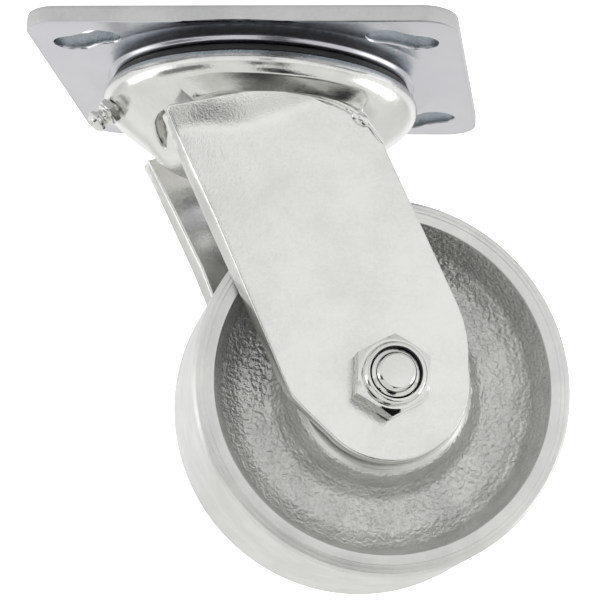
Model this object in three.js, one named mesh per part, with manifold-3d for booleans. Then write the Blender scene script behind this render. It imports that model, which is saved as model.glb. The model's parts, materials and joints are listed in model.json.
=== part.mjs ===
// Swivel plate caster with a bare cast wheel: top plate, swivel head, welded yoke, axle and wheel.
// Millimetres, +Z up. The origin is the centre of the top plate's mounting face, on the swivel axis.
// Everything that swivels is in one group, turned by REST_SWIVEL. In that group +X is the lead
// direction, from the swivel axis towards the axle, and Y is the wheel's axis.
import * as THREE from "three";
import * as BufferGeometryUtils from "three/addons/utils/BufferGeometryUtils.js";
import Module from "manifold-3d";

const wasm = await Module();
wasm.setup();

// Driving dimensions
const PLATE_LENGTH = 114.3; // along X
const PLATE_WIDTH = 101.6; // along Y
const PLATE_THICK = 4.76;
const PLATE_CORNER = 9.5;
const BOLT_HALF_SPAN_OUT = [46.04, 33.34]; // 3-5/8 x 2-5/8 in bolt pattern
const BOLT_HALF_SPAN_IN = [38.1, 38.1]; // 3 x 3 in bolt pattern
const BOLT_HOLE_RADIUS = 5.2; // for 3/8 in bolts
const REST_SWIVEL = THREE.MathUtils.degToRad(16);
const LEAD = 33.3; // swivel axis to axle, level
const AXLE_DROP = 92.075; // mounting face to axle
const WHEEL_RADIUS = 50.8;
const WHEEL_HALF_WIDTH = 22.4;
const LEG_INNER = 23.9; // wheel's mid plane to a leg's inner face
const LEG_THICK = 5;
const LEG_LOBE_RADIUS = 21.7; // rounded lower end of a leg, about the axle
const AXLE_RADIUS = 6.35; // 1/2 in bolt
const HEX_ACROSS_FLATS = 19.05; // 3/4 in
const BALL_RADIUS = 3.175; // 1/4 in balls
const BALL_STEP = 6.1; // centre to centre, so that neighbours join by a small neck
const UPPER_BALLS = 36;
const UPPER_BALL_Z = -9.9;
const LOWER_BALLS = 12;
const LOWER_BALL_Z = -31.4;
const KING_PIN_RADIUS = 8;
const KING_PIN_HEAD_RADIUS = 11; // flush in the top plate
const KING_PIN_HEAD_RIM = 0.6; // straight edge of the head, above its cone
const KING_PIN_HEAD_DEPTH = 3.6;
const KING_PIN_TAIL_RADIUS = 6.35;
const KING_PIN_SHOULDER_Z = -30.6;
const KING_PIN_END_Z = -44;
const NUT_HEX_HEIGHT = 7.2;
const NUT_COLLAR_RADIUS = 8.7;
const NUT_HEIGHT = 10; // with the rolled collar
const NUT_BORE_DEPTH = 6.4; // from the seat to the insert's pocket
const INSERT_RADIUS = 7.7;
const BOLT_HEAD_HEIGHT = 8;
const BOLT_TIP_RADIUS = 5.6;
const BOLT_TIP_CHAMFER = 0.9;
const BOLT_PAST_NUT = 1.6;
const CUP_RADIUS = 16.4;
const CUP_BOTTOM_Z = -36.6;
const CUP_LIP = 0.8;
const KING_PIN_NUT_HEIGHT = 5.4;
const HUB_BORE_RADIUS = 15;
const HUB_HALF_LENGTH = 21.9;
const BUSHING_RADIUS = 9.525;
const THRUST_WASHER_RADIUS = 19;
const ROLLERS = 8;
const ROLLER_RADIUS = 2.6;
const ROLLER_HALF_LENGTH = 19;
const CAGE_WALL = 1.4;
const CAGE_END = 1.5; // width of each end ring
const GAP = 0.3; // left between pieces that touch
const RUNNING_FIT = 0.3; // added to a hole's radius over its pin
const GREASE_FITTING_BASE = [-39.9, -3, -16.8];
const GREASE_FITTING_PITCH = THREE.MathUtils.degToRad(40); // below level

const FINE = 48; // facets round the large turned pieces
const ROUND = 24; // facets round pins and washers
const SMALL = 16; // facets round the smallest pieces
const CURVE_STEPS = 8; // straight steps along a curve of an extruded outline
const CLEAR = 60; // longer than any piece that a cutter goes through

const FINISH = {
  platedPlate: { color: "#b9bac0", roughness: 0.32, metalness: 1 },
  platedYoke: { color: "#dcdcda", roughness: 0.28, metalness: 1 },
  castIron: { color: "#a9a9a6", roughness: 0.5, metalness: 1 },
  platedBolt: { color: "#cfd0cc", roughness: 0.25, metalness: 1 },
  bearingSteel: { color: "#c4c6c8", roughness: 0.2, metalness: 1 },
  plainSteel: { color: "#8d8f92", roughness: 0.45, metalness: 1 },
  rubber: { color: "#17181a", roughness: 0.6, metalness: 0 },
  nylon: { color: "#2c2e30", roughness: 0.5, metalness: 0 },
};

// --- geometry to solid and back ---------------------------------------------------------------

function solidOf(geometry) {
  const bare = geometry.clone();
  bare.deleteAttribute("normal");
  bare.deleteAttribute("uv");
  const merged = BufferGeometryUtils.mergeVertices(bare, 1e-4);
  const index = merged.index.array;
  const kept = [];
  for (let i = 0; i < index.length; i += 3) {
    const [a, b, c] = [index[i], index[i + 1], index[i + 2]];
    if (a !== b && b !== c && c !== a) kept.push(a, b, c);
  }
  const vertProperties = Float32Array.from(merged.attributes.position.array);
  return new wasm.Manifold(new wasm.Mesh({ numProp: 3, vertProperties, triVerts: Uint32Array.from(kept) }));
}

function geometryOf(solid) {
  const mesh = solid.getMesh();
  const geometry = new THREE.BufferGeometry();
  geometry.setAttribute("position", new THREE.BufferAttribute(mesh.vertProperties, 3));
  geometry.setIndex(new THREE.BufferAttribute(mesh.triVerts, 1));
  return geometry;
}

// Turns the faces outward where a profile was walked the other way round.
function facingOut(geometry) {
  const indexed = geometry.index ? geometry : BufferGeometryUtils.mergeVertices(geometry);
  const place = indexed.attributes.position;
  const index = indexed.index.array;
  const [a, b, c] = [new THREE.Vector3(), new THREE.Vector3(), new THREE.Vector3()];
  let volume = 0;
  for (let i = 0; i < index.length; i += 3) {
    a.fromBufferAttribute(place, index[i]);
    b.fromBufferAttribute(place, index[i + 1]);
    c.fromBufferAttribute(place, index[i + 2]);
    volume += a.dot(b.cross(c));
  }
  if (volume < 0) {
    for (let i = 0; i < index.length; i += 3) {
      const first = index[i];
      index[i] = index[i + 1];
      index[i + 1] = first;
    }
  }
  return indexed;
}

// A piece turned about the Y axis. The profile is [radius, y] pairs; a ring's profile closes on itself.
function turned(profile, facets, ring = false) {
  const points = profile.map(([radius, y]) => new THREE.Vector2(radius, y));
  if (ring) points.push(points[0].clone());
  return facingOut(new THREE.LatheGeometry(points, facets));
}

// The same about the Z axis, with [radius, z] pairs.
function turnedUpright(profile, facets, ring = false) {
  return turned(profile, facets, ring).rotateX(Math.PI / 2);
}

// A plain round rod or cutter along Y.
function rod(radius, yLow, yHigh, facets) {
  return turned([[0, yLow], [radius, yLow], [radius, yHigh], [0, yHigh]], facets);
}

// The same along Z.
function rodUpright(radius, zLow, zHigh, facets) {
  return rod(radius, zLow, zHigh, facets).rotateX(Math.PI / 2);
}

// A square-cornered ring about Y.
function washer(inner, outer, yLow, yHigh, facets) {
  return turned([[inner, yLow], [outer, yLow], [outer, yHigh], [inner, yHigh]], facets, true);
}

function extruded(shape, depth) {
  return new THREE.ExtrudeGeometry(shape, { depth, bevelEnabled: false, curveSegments: CURVE_STEPS });
}

// A shape drawn in X and Z, extruded along Y from yLow to yHigh.
function slab(shape, yLow, yHigh) {
  return extruded(shape, yHigh - yLow).rotateX(Math.PI / 2).translate(0, yHigh, 0);
}

// A hexagon prism along Y, with two corners pointing up and down.
function hexPrism(acrossFlats, yLow, yHigh) {
  const cornerRadius = acrossFlats / Math.sqrt(3);
  const prism = new THREE.CylinderGeometry(cornerRadius, cornerRadius, yHigh - yLow, 6);
  return prism.translate(0, (yLow + yHigh) / 2, 0);
}

function piece(name, geometry, finish) {
  const plain = geometry.index ? geometry.toNonIndexed() : geometry;
  plain.computeVertexNormals();
  const mesh = new THREE.Mesh(plain, new THREE.MeshStandardMaterial(FINISH[finish]));
  mesh.name = name;
  return mesh;
}

// --- fixed half: the plate and what hangs from it ----------------------------------------------

const UPPER_PITCH_RADIUS = BALL_STEP / 2 / Math.sin(Math.PI / UPPER_BALLS);
const LOWER_PITCH_RADIUS = BALL_STEP / 2 / Math.sin(Math.PI / LOWER_BALLS);
const GROOVE_RADIUS = BALL_RADIUS + 0.35;
const GROOVE_HALF_WIDTH = 2.6;
const GROOVE_STEPS = 4;

// Points of a ball groove's section, walked outward. side 1 is a groove above the balls, -1 one below.
function groove(pitchRadius, ballZ, side) {
  const halfAngle = Math.asin(GROOVE_HALF_WIDTH / GROOVE_RADIUS);
  const points = [];
  for (let i = 0; i <= GROOVE_STEPS; i++) {
    const angle = halfAngle * ((2 * i) / GROOVE_STEPS - 1);
    const radius = pitchRadius + GROOVE_RADIUS * Math.sin(angle);
    points.push([radius, ballZ + side * GROOVE_RADIUS * Math.cos(angle)]);
  }
  return points;
}

function roundedRectangle(length, width, corner) {
  const [x, y] = [length / 2 - corner, width / 2 - corner];
  const shape = new THREE.Shape();
  shape.absarc(x, y, corner, 0, Math.PI / 2);
  shape.absarc(-x, y, corner, Math.PI / 2, Math.PI);
  shape.absarc(-x, -y, corner, Math.PI, 1.5 * Math.PI);
  shape.absarc(x, -y, corner, 1.5 * Math.PI, 2 * Math.PI);
  return shape;
}

// A slot from the wide bolt pattern's hole to the square pattern's, in the corner (signX, signY).
function boltSlot(signX, signY) {
  const outer = new THREE.Vector2(signX * BOLT_HALF_SPAN_OUT[0], signY * BOLT_HALF_SPAN_OUT[1]);
  const inner = new THREE.Vector2(signX * BOLT_HALF_SPAN_IN[0], signY * BOLT_HALF_SPAN_IN[1]);
  const along = inner.clone().sub(outer).angle();
  const slot = new THREE.Path();
  slot.absarc(inner.x, inner.y, BOLT_HOLE_RADIUS, along - Math.PI / 2, along + Math.PI / 2);
  slot.absarc(outer.x, outer.y, BOLT_HOLE_RADIUS, along + Math.PI / 2, along + 1.5 * Math.PI);
  return slot;
}

const HEAD_SECTION_RADIUS = 48; // outside this the plate is flat
const JOIN = 0.5; // by which the turned middle runs into the flat plate

function plateGeometry() {
  const outline = roundedRectangle(PLATE_LENGTH, PLATE_WIDTH, PLATE_CORNER);
  for (const signX of [-1, 1]) {
    for (const signY of [-1, 1]) outline.holes.push(boltSlot(signX, signY));
  }
  const blank = extruded(outline, PLATE_THICK).translate(0, 0, -PLATE_THICK);
  // The pressed middle: a shallow ring sunk in the top, and the ball groove and rolled lip below it.
  const pinHole = KING_PIN_RADIUS + GAP;
  const headHole = KING_PIN_HEAD_RADIUS + GAP;
  const middle = [
    [headHole, 0],
    [27, 0],
    [UPPER_PITCH_RADIUS - 4, -1.9],
    [UPPER_PITCH_RADIUS + 3, -1.9],
    [44, 0],
    [HEAD_SECTION_RADIUS, 0],
    [HEAD_SECTION_RADIUS, -PLATE_THICK],
    [43.2, -5.4],
    [41.8, -6.2],
    [40.6, -7.1],
    ...groove(UPPER_PITCH_RADIUS, UPPER_BALL_Z, 1).reverse(),
    [30.5, -7.4],
    [27, -PLATE_THICK],
    [pinHole, -PLATE_THICK],
    [pinHole, -KING_PIN_HEAD_DEPTH - GAP],
    [headHole, -KING_PIN_HEAD_RIM - GAP],
  ];
  const centreOut = rodUpright(HEAD_SECTION_RADIUS - JOIN, -CLEAR, CLEAR, FINE);
  const flat = solidOf(blank).subtract(solidOf(centreOut));
  return geometryOf(flat.add(solidOf(turnedUpright(middle, FINE, true))));
}

function kingPinGeometry() {
  return turnedUpright(
    [
      [0, 0],
      [KING_PIN_HEAD_RADIUS, 0],
      [KING_PIN_HEAD_RADIUS, -KING_PIN_HEAD_RIM],
      [KING_PIN_RADIUS, -KING_PIN_HEAD_DEPTH],
      [KING_PIN_RADIUS, KING_PIN_SHOULDER_Z],
      [KING_PIN_TAIL_RADIUS, KING_PIN_SHOULDER_Z],
      [KING_PIN_TAIL_RADIUS, KING_PIN_END_Z + 1],
      [KING_PIN_TAIL_RADIUS - 1, KING_PIN_END_Z],
      [0, KING_PIN_END_Z],
    ],
    ROUND,
  );
}

function lowerRaceCupGeometry() {
  const hole = KING_PIN_TAIL_RADIUS + GAP;
  return turnedUpright(
    [
      [hole, KING_PIN_SHOULDER_Z - GAP],
      [LOWER_PITCH_RADIUS - 4.1, KING_PIN_SHOULDER_Z - GAP],
      ...groove(LOWER_PITCH_RADIUS, LOWER_BALL_Z, -1),
      [CUP_RADIUS - CUP_LIP, LOWER_BALL_Z],
      [CUP_RADIUS, LOWER_BALL_Z],
      [CUP_RADIUS, -33.6],
      [CUP_RADIUS - 2.6, CUP_BOTTOM_Z],
      [hole, CUP_BOTTOM_Z],
    ],
    ROUND,
    true,
  );
}

function kingPinNutGeometry() {
  const high = CUP_BOTTOM_Z - GAP;
  const hex = hexPrism(HEX_ACROSS_FLATS, high - KING_PIN_NUT_HEIGHT, high).rotateX(Math.PI / 2);
  const hole = rodUpright(KING_PIN_TAIL_RADIUS + GAP, -CLEAR, 0, ROUND);
  return geometryOf(solidOf(hex).subtract(solidOf(hole)));
}

function dustSealGeometry() {
  return turnedUpright([[38.9, -7.6], [41.4, -7.6], [41.4, -8.9], [38.9, -8.9]], FINE, true);
}

// A full row of balls about the Z axis, joined where neighbours meet.
function ballRowGeometry(count, pitchRadius, ballZ) {
  let row = null;
  for (let i = 0; i < count; i++) {
    const ball = new THREE.SphereGeometry(BALL_RADIUS, 8, 4);
    // SphereGeometry's poles are on Y; its equator is laid level so that neighbours meet point to point
    ball.rotateX(Math.PI / 2).translate(pitchRadius, 0, ballZ).rotateZ((2 * Math.PI * i) / count);
    row = row ? row.add(solidOf(ball)) : solidOf(ball);
  }
  return geometryOf(row);
}

// --- swivelling half: yoke and axle ------------------------------------------------------------

// The underside of the swivel head: [radius, z] from the lip down to the rounded bottom.
const BOWL_SKIN = [
  [39.6, -9.3],
  [42.3, -9.3],
  [43.4, -11.4],
  [43.4, -12.6],
  [42.3, -15],
  [39.6, -18],
  [36.5, -20.5],
  [32.6, -23.6],
  [28.8, -27.4],
  [25.5, -29.3],
  [20.5, -30.2],
];

// The hollow pressed into the head above a leg, seen along Y: straight sides and an arched top.
function hollowShape() {
  const shape = new THREE.Shape();
  shape.moveTo(-31, -CLEAR);
  shape.lineTo(-31, -23);
  shape.quadraticCurveTo(-14, -15.9, 5, -16.6);
  shape.quadraticCurveTo(24, -16.6, 31, -27);
  shape.lineTo(31, -CLEAR);
  return shape;
}

function yokeBaseGeometry() {
  const pinHole = KING_PIN_RADIUS + RUNNING_FIT;
  const profile = [
    ...BOWL_SKIN,
    ...groove(LOWER_PITCH_RADIUS, LOWER_BALL_Z, 1).reverse(),
    [pinHole + 0.4, -30.2],
    [pinHole, -29.8],
    [pinHole, -25.2],
    [20.6, -25.2],
    [22.2, -15],
    [24, -13.2],
    [31.4, -12.9],
    ...groove(UPPER_PITCH_RADIUS, UPPER_BALL_Z, -1).slice(1),
    [38.6, -11.4],
  ];
  let base = solidOf(turnedUpright(profile, FINE, true));
  base = base.subtract(solidOf(slab(hollowShape(), LEG_INNER - GAP, CLEAR)));
  base = base.subtract(solidOf(slab(hollowShape(), -CLEAR, -(LEG_INNER - GAP))));
  // The grease fitting's hole, spot-faced where its hexagon seats
  const drilling = turned([[0, -12], [2.9, -12], [2.9, 0.6], [4.5, 0.6], [4.5, 12], [0, 12]], SMALL);
  return geometryOf(base.subtract(solidOf(atGreaseFitting(drilling))));
}

// Lays a piece turned about Y so that its +Y end points out of the head's wall, down and forward.
function atGreaseFitting(geometry) {
  return geometry.rotateZ(Math.PI / 2 + GREASE_FITTING_PITCH).translate(...GREASE_FITTING_BASE);
}

function greaseFittingGeometry() {
  const body = solidOf(
    turned(
      [
        [1, -4],
        [2.6, -4],
        [2.6, 0.9],
        [3.4, 0.9],
        [3.4, 3.6],
        [2.3, 4.2],
        [2.3, 5.2],
        [3.1, 6.4],
        [3.1, 7.3],
        [2, 8.4],
        [1, 8.4],
      ],
      SMALL,
      true,
    ),
  );
  const hex = solidOf(hexPrism(7, 0.9, 3.4));
  const passage = solidOf(rod(1, -CLEAR, CLEAR, SMALL));
  return atGreaseFitting(geometryOf(body.add(hex.subtract(passage))));
}

// A leg's face, in X and Z: from the head's front down to the rounded end about the axle, and back up.
function legShape() {
  const shape = new THREE.Shape();
  const lobeStart = THREE.MathUtils.degToRad(-129);
  const lobeEnd = THREE.MathUtils.degToRad(16);
  shape.moveTo(-28.2, -24.8);
  shape.lineTo(-13.6, -53.2);
  shape.lineTo(6, -94.8);
  shape.quadraticCurveTo(8, -99.3, 10.8, -101.7);
  shape.absarc(LEAD, -AXLE_DROP, LEG_LOBE_RADIUS, lobeStart, lobeEnd);
  shape.quadraticCurveTo(54.3, -76.5, 51, -70);
  shape.lineTo(29.6, -28.6);
  shape.quadraticCurveTo(24.6, -17.6, 8, -17.1);
  shape.quadraticCurveTo(-9, -16.7, -28.2, -24.8);
  return shape;
}

function legGeometry(yLow) {
  const shape = legShape();
  const hole = new THREE.Path();
  hole.absarc(LEAD, -AXLE_DROP, AXLE_RADIUS + RUNNING_FIT, 0, 2 * Math.PI);
  shape.holes.push(hole);
  return slab(shape, yLow, yLow + LEG_THICK);
}

const LEG_OUTER = LEG_INNER + LEG_THICK;
const NUT_SEAT = -(LEG_OUTER + GAP);
const NUT_END = NUT_SEAT - NUT_HEIGHT;
const BOLT_END = NUT_END - BOLT_PAST_NUT;
const AXLE_BORE = AXLE_RADIUS + RUNNING_FIT;

function axleBoltGeometry() {
  const seat = LEG_OUTER + GAP;
  const shank = turned(
    [
      [0, BOLT_END],
      [BOLT_TIP_RADIUS, BOLT_END],
      [AXLE_RADIUS, BOLT_END + BOLT_TIP_CHAMFER],
      [AXLE_RADIUS, seat + 1],
      [0, seat + 1],
    ],
    ROUND,
  );
  const head = hexPrism(HEX_ACROSS_FLATS, seat, seat + BOLT_HEAD_HEIGHT);
  return geometryOf(solidOf(shank).add(solidOf(head)));
}

function axleNutGeometry() {
  const hex = hexPrism(HEX_ACROSS_FLATS, NUT_SEAT - NUT_HEX_HEIGHT, NUT_SEAT);
  const collar = turned(
    [
      [0, NUT_END],
      [NUT_COLLAR_RADIUS - 0.5, NUT_END],
      [NUT_COLLAR_RADIUS, NUT_END + 0.6],
      [NUT_COLLAR_RADIUS, NUT_SEAT - 1],
      [0, NUT_SEAT - 1],
    ],
    ROUND,
  );
  const pocket = rod(INSERT_RADIUS + GAP, -CLEAR, NUT_SEAT - NUT_BORE_DEPTH, ROUND);
  const bore = rod(AXLE_BORE, -CLEAR, 0, ROUND);
  return geometryOf(solidOf(hex).add(solidOf(collar)).subtract(solidOf(pocket)).subtract(solidOf(bore)));
}

function nylonInsertGeometry() {
  return washer(AXLE_BORE, INSERT_RADIUS, NUT_END + 0.5, NUT_SEAT - NUT_BORE_DEPTH - GAP, ROUND);
}

function spannerBushingGeometry() {
  return washer(AXLE_BORE, BUSHING_RADIUS, -(LEG_INNER - GAP), LEG_INNER - GAP, ROUND);
}

function thrustWasherGeometry(side) {
  const faces = [side * (HUB_HALF_LENGTH + GAP), side * (LEG_INNER - GAP)];
  return washer(BUSHING_RADIUS + RUNNING_FIT, THRUST_WASHER_RADIUS, ...faces, ROUND);
}

// --- wheel and its roller bearing ---------------------------------------------------------------

// One side of the wheel's section as [radius, distance from the mid plane], from the hub's bore outward.
const WHEEL_SIDE = [
  [HUB_BORE_RADIUS, HUB_HALF_LENGTH],
  [22.6, HUB_HALF_LENGTH],
  [24, HUB_HALF_LENGTH - 1],
  [26.2, 12],
  [29, 8.8],
  [38, 8.2],
  [41.6, 10.6],
  [45.2, WHEEL_HALF_WIDTH],
  [50.2, WHEEL_HALF_WIDTH],
  [WHEEL_RADIUS, WHEEL_HALF_WIDTH - 0.6],
];

function wheelGeometry() {
  const farSide = WHEEL_SIDE.map(([radius, offset]) => [radius, -offset]).reverse();
  return turned([...WHEEL_SIDE, ...farSide], FINE, true);
}

const ROLLER_PITCH_RADIUS = (BUSHING_RADIUS + HUB_BORE_RADIUS) / 2;

function rollerCageGeometry() {
  const half = ROLLER_HALF_LENGTH + GAP + CAGE_END;
  const [inner, outer] = [ROLLER_PITCH_RADIUS - CAGE_WALL / 2, ROLLER_PITCH_RADIUS + CAGE_WALL / 2];
  let cage = solidOf(washer(inner, outer, -half, half, ROUND));
  const windowWidth = 2 * (ROLLER_RADIUS + GAP);
  const windowLength = 2 * (ROLLER_HALF_LENGTH + GAP);
  for (let i = 0; i < ROLLERS; i++) {
    const opening = new THREE.BoxGeometry(4 * CAGE_WALL, windowLength, windowWidth);
    opening.translate(ROLLER_PITCH_RADIUS, 0, 0).rotateY((2 * Math.PI * i) / ROLLERS);
    cage = cage.subtract(solidOf(opening));
  }
  return geometryOf(cage);
}

function rollerGeometry() {
  return new THREE.CylinderGeometry(ROLLER_RADIUS, ROLLER_RADIUS, 2 * ROLLER_HALF_LENGTH, 12);
}

// --- assembly ------------------------------------------------------------------------------------

const caster = new THREE.Group();
caster.add(
  piece("top_plate", plateGeometry(), "platedPlate"),
  piece("king_pin", kingPinGeometry(), "plainSteel"),
  piece("lower_race_cup", lowerRaceCupGeometry(), "platedPlate"),
  piece("king_pin_nut", kingPinNutGeometry(), "platedBolt"),
  piece("dust_seal", dustSealGeometry(), "rubber"),
);

const swivelling = new THREE.Group();
swivelling.rotation.z = REST_SWIVEL;
caster.add(swivelling);
swivelling.add(
  piece("upper_ball_row", ballRowGeometry(UPPER_BALLS, UPPER_PITCH_RADIUS, UPPER_BALL_Z), "bearingSteel"),
  piece("lower_ball_row", ballRowGeometry(LOWER_BALLS, LOWER_PITCH_RADIUS, LOWER_BALL_Z), "bearingSteel"),
  piece("yoke_base", yokeBaseGeometry(), "platedYoke"),
  piece("yoke_leg_near", legGeometry(-LEG_OUTER), "platedYoke"),
  piece("yoke_leg_far", legGeometry(LEG_INNER), "platedYoke"),
  piece("grease_fitting", greaseFittingGeometry(), "platedBolt"),
);

const axleGroup = new THREE.Group();
axleGroup.position.set(LEAD, 0, -AXLE_DROP);
swivelling.add(axleGroup);
axleGroup.add(
  piece("axle_bolt", axleBoltGeometry(), "platedBolt"),
  piece("axle_lock_nut", axleNutGeometry(), "platedBolt"),
  piece("lock_nut_insert", nylonInsertGeometry(), "nylon"),
  piece("spanner_bushing", spannerBushingGeometry(), "bearingSteel"),
  piece("thrust_washer_near", thrustWasherGeometry(-1), "plainSteel"),
  piece("thrust_washer_far", thrustWasherGeometry(1), "plainSteel"),
  piece("wheel", wheelGeometry(), "castIron"),
  piece("roller_cage", rollerCageGeometry(), "plainSteel"),
);

for (let i = 0; i < ROLLERS; i++) {
  const roller = piece(`roller_${i + 1}`, rollerGeometry(), "bearingSteel");
  const angle = (2 * Math.PI * i) / ROLLERS;
  roller.position.set(ROLLER_PITCH_RADIUS * Math.cos(angle), 0, -ROLLER_PITCH_RADIUS * Math.sin(angle));
  axleGroup.add(roller);
}

export default caster;
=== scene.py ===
"""Looks of the swivel plate caster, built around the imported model: metres, +Z up, in the model's frame."""
import json
import math

import bmesh
import bpy
from mathutils import Matrix, Vector, noise


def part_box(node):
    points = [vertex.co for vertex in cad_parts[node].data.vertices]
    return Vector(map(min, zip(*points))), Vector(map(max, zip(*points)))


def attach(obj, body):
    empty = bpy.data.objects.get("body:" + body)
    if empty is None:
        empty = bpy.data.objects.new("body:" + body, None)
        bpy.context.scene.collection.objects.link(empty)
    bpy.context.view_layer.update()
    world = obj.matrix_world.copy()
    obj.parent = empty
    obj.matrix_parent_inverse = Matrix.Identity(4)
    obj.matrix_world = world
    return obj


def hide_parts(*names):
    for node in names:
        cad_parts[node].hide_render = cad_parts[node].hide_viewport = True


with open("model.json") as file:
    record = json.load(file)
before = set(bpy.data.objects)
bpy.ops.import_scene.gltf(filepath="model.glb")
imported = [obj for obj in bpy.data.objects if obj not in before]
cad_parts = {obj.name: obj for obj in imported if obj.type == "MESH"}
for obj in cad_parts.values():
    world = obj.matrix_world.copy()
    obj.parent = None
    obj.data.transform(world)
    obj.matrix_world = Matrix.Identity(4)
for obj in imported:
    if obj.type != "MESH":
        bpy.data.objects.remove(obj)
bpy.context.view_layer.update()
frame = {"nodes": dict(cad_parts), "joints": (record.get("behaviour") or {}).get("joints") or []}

MM = 0.001
JOINTS = {joint["name"]: joint for joint in frame["joints"]}
SPIN = JOINTS["wheel_spin"]
SWIVEL_ANGLE = math.atan2(-SPIN["axis"][0], SPIN["axis"][1])
LEAD = math.hypot(SPIN["pos_m"][0], SPIN["pos_m"][1]) / MM
AXLE_DROP = -SPIN["pos_m"][2] / MM
# Pieces are drawn in millimetres, in one of three places, and laid into the frame by these.
AT_PLATE = Matrix.Scale(MM, 4)
AT_YOKE = Matrix.Rotation(SWIVEL_ANGLE, 4, "Z") @ AT_PLATE
AT_AXLE = AT_YOKE @ Matrix.Translation((LEAD, 0, -AXLE_DROP))


def box_mm(node):
    """A CAD node's lowest and highest corners, in millimetres."""
    low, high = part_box(node)
    return low / MM, high / MM


PLATE_HALF_X, PLATE_HALF_Y = box_mm("top_plate")[1].xy
PLATE_THICK = 4.76
PLATE_CORNER = 9.5
LEG_INNER = 23.9
LEG_OUTER = 28.9
LOBE_RADIUS = 21.7
NUT_SEAT = -29.2
HEX_FLATS = 19.05
AXLE_RADIUS = 6.35
BOLT_HOLE = 6.65


# --- camera, light and stage ---------------------------------------------------------------------


def place_camera():
    """Stands below and in front of the caster, looking up at it through a long lens."""
    data = bpy.data.cameras.new("camera")
    data.sensor_width = 36
    data.lens = 157.4
    data.clip_start = 0.01
    data.clip_end = 50
    camera = bpy.data.objects.new("camera", data)
    bpy.context.scene.collection.objects.link(camera)
    yaw, pitch, roll = (math.radians(a) for a in (7.364, 12.984, -2.357))
    turn = Matrix.Rotation(yaw, 4, "Z") @ Matrix.Rotation(pitch, 4, "X") @ Matrix.Rotation(roll, 4, "Y")
    upright = Matrix.Rotation(math.pi / 2, 4, "X")
    camera.matrix_world = Matrix.Translation((0.10219, -0.688, -0.22673)) @ turn @ upright
    bpy.context.scene.camera = camera


def linear(code):
    """An sRGB hex value as linear red, green, blue and full alpha."""
    parts = [int(code[i : i + 2], 16) / 255 for i in (1, 3, 5)]
    return tuple(p / 12.92 if p <= 0.04045 else ((p + 0.055) / 1.055) ** 2.4 for p in parts) + (1,)


def node_in(tree, kind, settings=None, links=None):
    """Adds a node of this kind. settings are its attributes or unlinked inputs, links its fed inputs."""
    node = tree.nodes.new(kind)
    for name, value in (settings or {}).items():
        if isinstance(name, int) or name in node.inputs:
            node.inputs[name].default_value = value
        else:
            setattr(node, name, value)
    for name, source in (links or {}).items():
        tree.links.new(source, node.inputs[name])
    return node


def ramp_in(tree, source, stops):
    """An eased colour ramp fed by source; stops are (position, grey level or colour)."""
    ramp = node_in(tree, "ShaderNodeValToRGB", links={"Fac": source})
    ramp.color_ramp.interpolation = "EASE"
    elements = ramp.color_ramp.elements
    while len(elements) < len(stops):
        elements.new(0.5)
    for element, (position, level) in zip(elements, stops):
        element.position = position
        element.color = level if isinstance(level, tuple) else (level, level, level, 1)
    return ramp.outputs["Color"]


def light_world():
    """A white studio: brightest at the horizon, a little dimmer overhead and dimmest below."""
    world = bpy.data.worlds.new("studio")
    bpy.context.scene.world = world
    world.use_nodes = True
    tree = world.node_tree
    tree.nodes.clear()
    place = node_in(tree, "ShaderNodeTexCoord").outputs["Generated"]
    height = node_in(tree, "ShaderNodeSeparateXYZ", links={"Vector": place}).outputs["Z"]
    lifted = node_in(tree, "ShaderNodeMapRange", {"From Min": -1, "From Max": 1}, {"Value": height})
    stops = [(0.0, 0.55), (0.3, 0.8), (0.5, 1.02), (0.6, 0.95), (0.72, 0.86), (1.0, 0.7)]
    shade = ramp_in(tree, lifted.outputs["Result"], stops)
    light = node_in(tree, "ShaderNodeBackground", {"Strength": 1.0}, {"Color": shade})
    node_in(tree, "ShaderNodeOutputWorld", links={"Surface": light.outputs["Background"]})


def add_area(name, place, target, size, power):
    """A rectangular soft lamp that reflections don't see."""
    data = bpy.data.lights.new(name, "AREA")
    data.shape = "RECTANGLE"
    data.size, data.size_y = size
    data.energy = power
    lamp = bpy.data.objects.new(name, data)
    bpy.context.scene.collection.objects.link(lamp)
    lamp.location = place
    lamp.rotation_euler = (Vector(target) - Vector(place)).to_track_quat("-Z", "Y").to_euler()
    lamp.visible_glossy = False


def stage_material(name, code, emission=0.0):
    """Matt card or paper, or one that glows white."""
    material = bpy.data.materials.new(name)
    material.use_nodes = True
    shader = material.node_tree.nodes["Principled BSDF"]
    shader.inputs["Base Color"].default_value = linear(code)
    shader.inputs["Roughness"].default_value = 0.85
    shader.inputs["Specular IOR Level"].default_value = 0.2
    shader.inputs["Emission Color"].default_value = (1, 1, 1, 1)
    shader.inputs["Emission Strength"].default_value = emission
    return material


def add_card(name, place, target, size, code, emission=0.0):
    """A flat panel that only reflections see."""
    mesh = bpy.data.meshes.new(name)
    x, y = size[0] / 2, size[1] / 2
    mesh.from_pydata([(-x, -y, 0), (x, -y, 0), (x, y, 0), (-x, y, 0)], [], [(0, 1, 2, 3)])
    mesh.materials.append(stage_material(name, code, emission))
    card = bpy.data.objects.new(name, mesh)
    bpy.context.scene.collection.objects.link(card)
    card.location = place
    card.rotation_euler = (Vector(target) - Vector(place)).to_track_quat("Z", "Y").to_euler()
    card.visible_camera = False
    card.visible_diffuse = False
    card.visible_shadow = False


def link_mesh(name, shape):
    """Makes a linked object from a bmesh."""
    mesh = bpy.data.meshes.new(name)
    shape.to_mesh(mesh)
    shape.free()
    made = bpy.data.objects.new(name, mesh)
    bpy.context.scene.collection.objects.link(made)
    return made


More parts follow.
